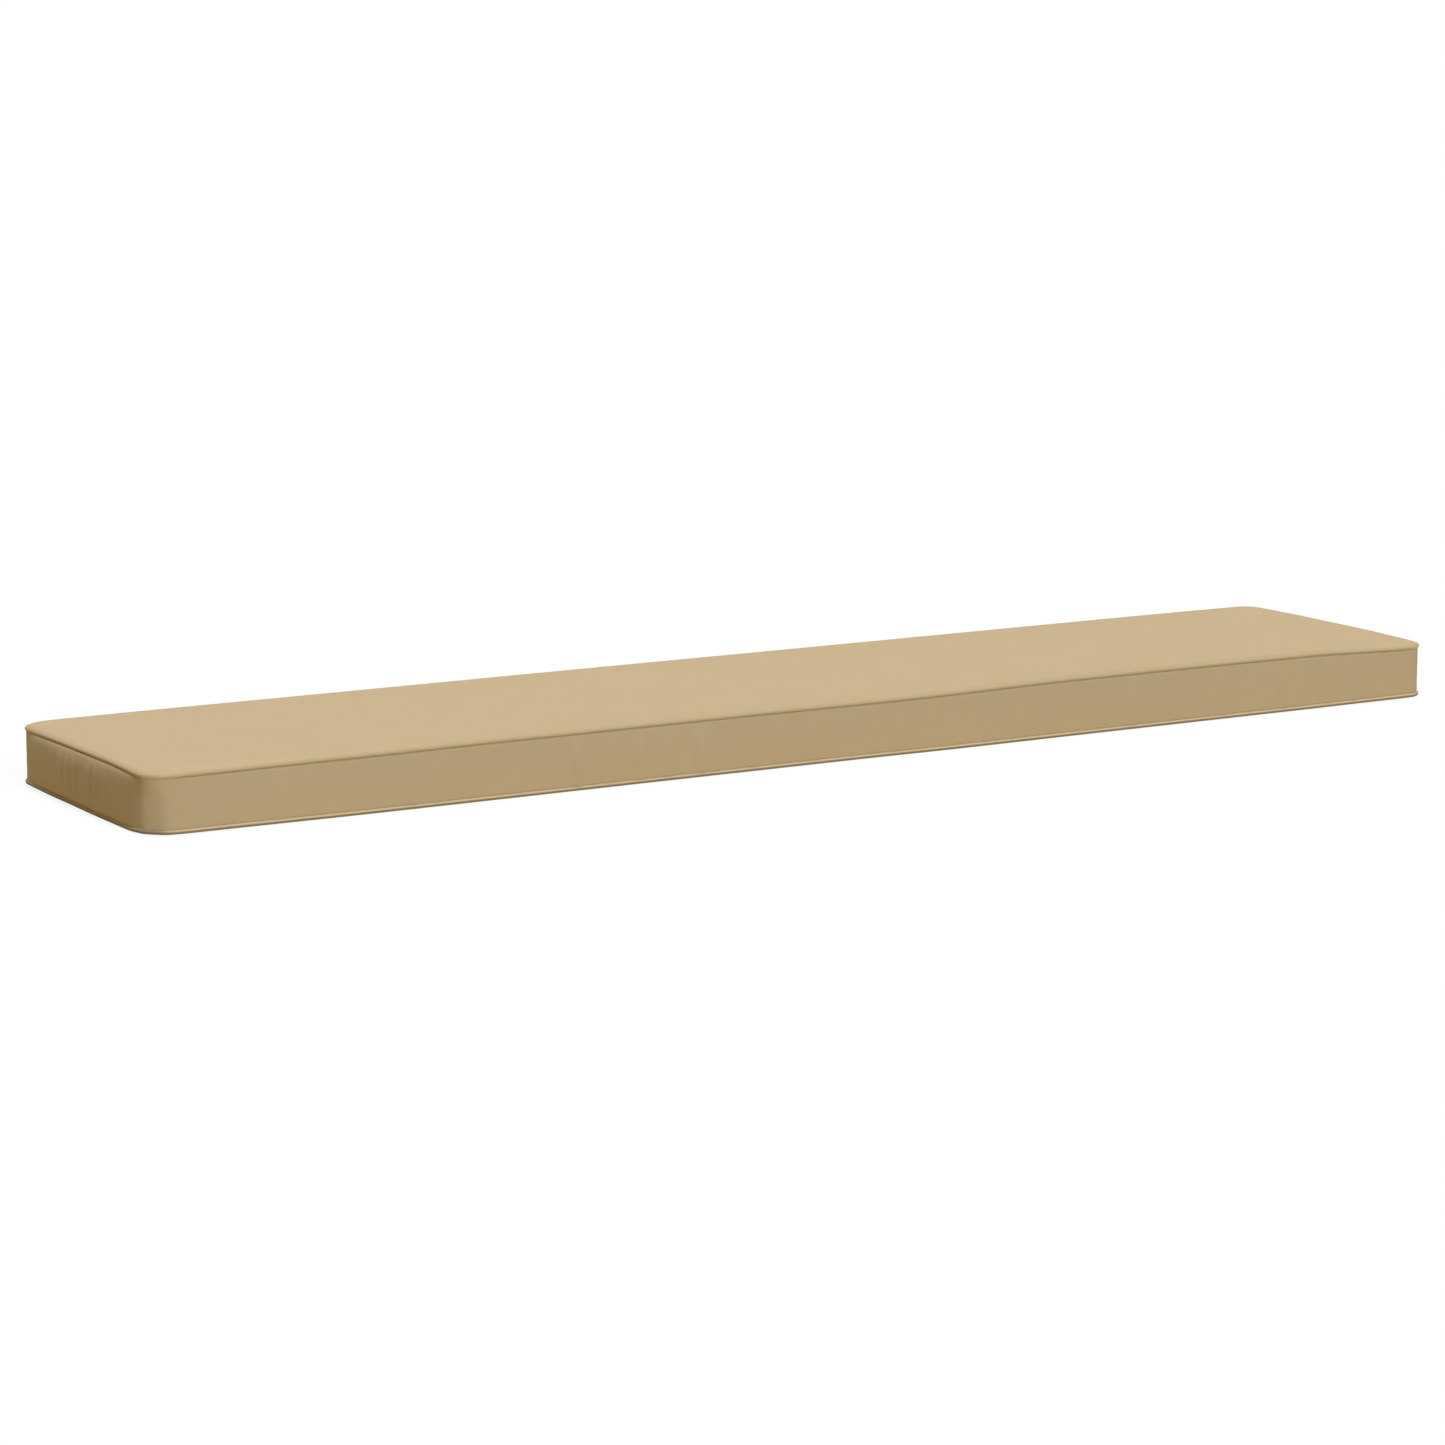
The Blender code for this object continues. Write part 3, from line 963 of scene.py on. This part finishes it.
@dataclass
class Piping:
    """A cord in a bias-cut canvas cover, sewn into one of the two seams.

    Its cover is darkened by painted shade below, from shade_from down to shade_to, as parts of an
    upright normal, and along the long sides and the ends between the two parts of a level one in
    their spans.
    """

    name: str
    outline: Outline
    radius: float
    finish: CanvasFinish
    underside_shade: float
    long_side_shade: float
    end_shade: float
    shade_from: float = 0.45
    shade_to: float = -0.10
    long_side_span: tuple[float, float] = (0.1, 0.6)
    end_span: tuple[float, float] = (0.2, 0.7)
    sides: int = 16
    long_points: int = 520
    short_points: int = 106
    crease_mm: float = 0.10
    crease_spacing_mm: float = 5.0
    crease_rest: float = 0.62
    seed: int = 3

    def walk(self) -> Walk:
        """Slices of the seam that the cord follows."""
        return self.outline.walk(self.long_points, self.short_points)

    def build(self, inset: np.ndarray, heights: np.ndarray, walk: Walk) -> Object:
        """Sweep the cord along its seam.

        Args:
            inset: Inset of the seam at every slice.
            heights: Its height at every slice.
            walk: The slices.

        Returns:
            The finished piping as a plain mesh.
        """
        path = self.outline.points(walk, inset, heights)
        guide_mesh = bpy.data.meshes.new(f"{self.name}_path")
        count = len(path)
        guide_mesh.from_pydata(path.tolist(), [(i, (i + 1) % count) for i in range(count)], [])
        guide = add_object(f"{self.name}_path", guide_mesh)
        tree = self._tree(self.finish.build())
        modifier = guide.modifiers.new("sweep", "NODES")
        modifier.node_group = tree
        values = self._inputs()
        for item in tree.interface.items_tree:
            if item.item_type == "SOCKET" and item.name in values:
                modifier[item.identifier] = values[item.name]
        evaluated = guide.evaluated_get(bpy.context.evaluated_depsgraph_get())
        mesh = bpy.data.meshes.new_from_object(evaluated)
        mesh.name = self.name
        bpy.data.objects.remove(guide, do_unlink=True)
        self._face_outwards(mesh)
        self._close_weave(mesh)
        self._paint_shade(mesh)
        return add_object(self.name, mesh)

    @staticmethod
    def _face_outwards(mesh: Mesh) -> None:
        """Turn all faces round if the tube came out inside out.

        Args:
            mesh: The piping's mesh.
        """
        builder = bmesh.new()
        builder.from_mesh(mesh)
        if builder.calc_volume(signed=True) < 0:
            bmesh.ops.reverse_faces(builder, faces=builder.faces[:])
        builder.to_mesh(mesh)
        builder.free()

    @staticmethod
    def _close_weave(mesh: Mesh) -> None:
        """Run the weave on past its start, where the faces close the tube and its round.

        Args:
            mesh: The piping's mesh.
        """
        layer = mesh.attributes["weave"].data
        spots = np.empty(len(layer) * 2, np.float32)
        layer.foreach_get("vector", spots)
        faces = spots.reshape(len(mesh.polygons), -1, 2)
        longest = faces.reshape(-1, 2).max(axis=0)
        for axis in (0, 1):
            places = faces[:, :, axis]
            wraps = np.ptp(places, axis=1) > longest[axis] / 2
            behind = wraps[:, None] & (places < longest[axis] / 2)
            step = longest[axis] - np.partition(np.unique(places), -2)[-2]
            places[behind] += longest[axis] + step
        layer.foreach_set("vector", faces.ravel())

    def _paint_shade(self, mesh: Mesh) -> None:
        """Write the cover's painted shade from 0 to 1: below, along the long sides and on the ends.

        Args:
            mesh: The piping's mesh.
        """
        facing = np.empty(len(mesh.vertices) * 3, np.float32)
        mesh.vertices.foreach_get("normal", facing)
        end, long_side, up = facing.reshape(-1, 3).T
        shades = [
            share * ease((part - low) / (high - low))
            for share, part, (low, high) in (
                (self.underside_shade, -up, (-self.shade_from, -self.shade_to)),
                (self.long_side_shade, np.abs(long_side), self.long_side_span),
                (self.end_shade, np.abs(end), self.end_span),
            )
        ]
        write_painted_shade(mesh, np.max(shades, axis=0))

    def _inputs(self) -> dict[str, float | int]:
        """What the node group is given.

        Returns:
            The value of each named input.
        """
        return {
            "Cord radius": self.radius,
            "Sides": self.sides,
            "Crease depth": self.crease_mm * MM,
            "Crease spacing": self.crease_spacing_mm * MM,
            "Seed": self.seed,
        }

    def _tree(self, material: Material) -> NodeTree:
        """Nodes that sweep a round cord along a path and crease its cover a little.

        Args:
            material: The cloth of the cover.

        Returns:
            The node group.
        """
        tree = bpy.data.node_groups.new(f"{self.name}_sweep", "GeometryNodeTree")
        for direction in ("INPUT", "OUTPUT"):
            tree.interface.new_socket("Geometry", in_out=direction, socket_type="NodeSocketGeometry")
        for label, value in self._inputs().items():
            kind = "NodeSocketInt" if isinstance(value, int) else "NodeSocketFloat"
            tree.interface.new_socket(label, in_out="INPUT", socket_type=kind)
        given = add_node(tree, "NodeGroupInput").outputs
        path = add_node(tree, "GeometryNodeMeshToCurve", {"Mesh": given["Geometry"]})
        upright = add_node(tree, "GeometryNodeSetCurveNormal", {"Curve": path}, mode="Z_UP")
        circle = {"Resolution": given["Sides"], "Radius": given["Cord radius"]}
        ring = add_node(tree, "GeometryNodeCurvePrimitiveCircle", circle)
        marked = []
        for label, curve in (("Run", upright), ("Around", ring)):
            gone = add_node(tree, "GeometryNodeSplineParameter")
            capture = add_node(tree, "GeometryNodeCaptureAttribute", {"Geometry": curve}, domain="POINT")
            capture.capture_items.new("FLOAT", label)
            tree.links.new(gone.outputs["Length"], capture.inputs[1])
            marked.append(capture)
        run, around = marked
        place = add_node(tree, "ShaderNodeCombineXYZ", {"X": run.outputs[1], "Y": around.outputs[1]})
        cord = add_node(tree, "GeometryNodeCurveToMesh", {"Curve": run, "Profile Curve": around})
        for uv_map, value in (("weave", place), ("seam_run", (*FAR_FROM_SEAM, 0.0))):
            stored = {"Geometry": cord, "Name": uv_map, "Value": value}
            kind = "GeometryNodeStoreNamedAttribute"
            cord = add_node(tree, kind, stored, data_type="FLOAT2", domain="CORNER")
        creased = self._creases(tree, given, cord)
        smooth = add_node(tree, "GeometryNodeSetShadeSmooth", {"Geometry": creased})
        real = add_node(tree, "GeometryNodeRealizeInstances", {"Geometry": smooth})
        dressed = add_node(tree, "GeometryNodeSetMaterial", {"Geometry": real, "Material": material})
        add_node(tree, "NodeGroupOutput", {"Geometry": dressed})
        return tree

    def _creases(self, tree: NodeTree, given: bpy_prop_collection, cord: Node) -> Node:
        """Move the cover in and out a little, as cloth pulled round a cord does.

        The noise is mostly below crease_rest, so the cover is mostly pulled in.

        Args:
            tree: The node group.
            given: Its named inputs.
            cord: The smooth tube.

        Returns:
            The creased tube.
        """
        where = add_node(tree, "GeometryNodeInputPosition")
        spacing = given["Crease spacing"]
        fineness = add_node(tree, "ShaderNodeMath", {0: 1.0, 1: spacing}, operation="DIVIDE")
        noise = {"Vector": where, "W": given["Seed"], "Scale": fineness, "Detail": 1.0}
        uneven = add_node(tree, "ShaderNodeTexNoise", noise, noise_dimensions="4D")
        centred = add_node(tree, "ShaderNodeMath", {0: uneven, 1: self.crease_rest}, operation="SUBTRACT")
        terms = {0: centred, 1: given["Crease depth"]}
        depth = add_node(tree, "ShaderNodeMath", terms, operation="MULTIPLY")
        outwards = add_node(tree, "GeometryNodeInputNormal")
        shift = add_node(tree, "ShaderNodeVectorMath", {0: outwards, "Scale": depth}, operation="SCALE")
        return add_node(tree, "GeometryNodeSetPosition", {"Geometry": cord, "Offset": shift})


class SoftLight(NamedTuple):
    """A wide light: irradiance in watts a square metre, width in degrees, lean and tint.

    The lean is the sideways part of the direction towards the light for one part upwards.
    """

    name: str
    strength: float
    softness_deg: float
    lean: tuple[float, float]
    tint: str


@dataclass
class Studio:
    """Plain pale floor, soft light from above and the front, and the camera.

    The floor that is seen is grey and gives off light of its own, so that the contact shadow
    stays faint on it. The light that it sends back to the cushion is warm.
    """

    floor_size: float = 400.0
    floor_colour: str = "#595958"
    floor_glow: float = 0.87
    floor_bounce: str = "#DDCD8F"
    floor_roughness: float = 0.95
    sky_light: float = 0.03
    sky_seen: float = 0.9
    lights: tuple[SoftLight, ...] = (
        SoftLight("overhead_light", 2.74, 12.0, (0.0, 0.0), "#FFFDFB"),
        SoftLight("front_light", 3.67, 40.0, (0.0, -2.5), "#E4F4FF"),
        SoftLight("back_light", 0.90, 12.0, (-0.83, 5.0), "#FFF0DF"),
    )
    light_distance: float = 3.0
    camera_place: tuple[float, float, float] = (-3.1521, -5.1799, 1.0978)
    camera_turn_deg: float = -30.833
    camera_down_deg: float = 10.062
    lens_mm: float = 112.165
    sensor_mm: float = 36.0
    view_reach: float = 500.0

    def build(self) -> None:
        """Make the floor, the lights, the sky and the camera."""
        self._floor()
        for light in self.lights:
            self._add_light(light)
        self._sky()
        self._camera()

    def _floor(self) -> None:
        """A level floor at z = 0."""
        bpy.ops.mesh.primitive_plane_add(size=self.floor_size, location=(0, 0, 0))
        floor = bpy.context.object
        floor.name = "floor"
        material = bpy.data.materials.new("matt_pale_floor")
        material.use_nodes = True
        tree = material.node_tree
        shader = tree.nodes["Principled BSDF"]
        seen = add_node(tree, "ShaderNodeLightPath").outputs["Is Camera Ray"]
        tints = {0: seen, 6: srgb_to_linear(self.floor_bounce), 7: srgb_to_linear(self.floor_colour)}
        colour = add_node(tree, "ShaderNodeMix", tints, data_type="RGBA")
        tree.links.new(colour.outputs[2], shader.inputs["Base Color"])
        glow = add_node(tree, "ShaderNodeMath", {0: seen, 1: self.floor_glow}, operation="MULTIPLY")
        shader.inputs["Emission Color"].default_value = srgb_to_linear("#FFFFFF")
        tree.links.new(glow.outputs[0], shader.inputs["Emission Strength"])
        shader.inputs["Roughness"].default_value = self.floor_roughness
        shader.inputs["Specular IOR Level"].default_value = 0.0
        floor.data.materials.append(material)

    def _add_light(self, light: SoftLight) -> None:
        """Add a light that falls evenly on the whole floor.

        Args:
            light: What it is.
        """
        data = bpy.data.lights.new(light.name, "SUN")
        data.energy = light.strength
        data.angle = math.radians(light.softness_deg)
        data.color = srgb_to_linear(light.tint)[:3]
        lamp = add_object(light.name, data)
        towards = Vector((*light.lean, 1.0))
        lamp.rotation_euler = towards.to_track_quat("Z", "Y").to_euler()
        lamp.location = towards * self.light_distance

    def _sky(self) -> None:
        """Faint even light from all round."""
        world = bpy.data.worlds.new("studio")
        world.use_nodes = True
        tree = world.node_tree
        background = tree.nodes["Background"]
        background.inputs["Color"].default_value = srgb_to_linear("#FFFFFF")
        seen = add_node(tree, "ShaderNodeLightPath").outputs["Is Camera Ray"]
        levels = {"Value": seen, "To Min": self.sky_light, "To Max": self.sky_seen}
        strength = add_node(tree, "ShaderNodeMapRange", levels)
        tree.links.new(strength.outputs["Result"], background.inputs["Strength"])
        bpy.context.scene.world = world

    def _camera(self) -> None:
        """The camera at the photograph's place and angle."""
        data = bpy.data.cameras.new("camera")
        data.lens = self.lens_mm
        data.sensor_width = self.sensor_mm
        data.clip_end = self.view_reach
        camera = add_object("camera", data)
        camera.location = self.camera_place
        camera.rotation_euler = (
            math.radians(90 - self.camera_down_deg),
            0.0,
            math.radians(self.camera_turn_deg),
        )
        bpy.context.scene.camera = camera


def main() -> None:
    """Build the studio, the cover and the pipings, report them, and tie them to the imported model."""
    logging.basicConfig(level=logging.INFO, format="%(name)s: %(message)s")
    bpy.context.scene.view_settings.view_transform = "Standard"
    Studio().build()
    low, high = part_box("bottom_piping")
    outline = Outline(length=high.x - low.x, depth=high.y - low.y)
    seams = Seams(outline)
    cover = CushionCover(outline, seams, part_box("cushion")[1].z, (SEAT, BAND, UNDERSIDE)).build()
    pipings = {}
    # The last three numbers are each piping's painted shade: below, along the long sides and on the ends
    for name, inset, level, cloth, shades in (
        ("top_piping", seams.top_inset, seams.top, BIAS_CUT, (0.0, 0.42, 0.0)),
        ("bottom_piping", seams.bottom_inset, seams.bottom, BIAS_CUT_SHADED_BELOW, (0.85, 0.0, 0.40)),
    ):
        piping = Piping(f"{name}_cord", outline, seams.piping_radius, cloth, *shades)
        walk = piping.walk()
        pipings[name] = piping.build(inset(walk), level(walk), walk)
    for piece in (cover, *pipings.values()):
        LOG.info("%s: %d faces", piece.name, len(piece.data.polygons))
    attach(cover, "root")
    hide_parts("cushion")
    for name, piping in pipings.items():
        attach(piping, "root")
        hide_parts(name)


if __name__ == "__main__":
    main()
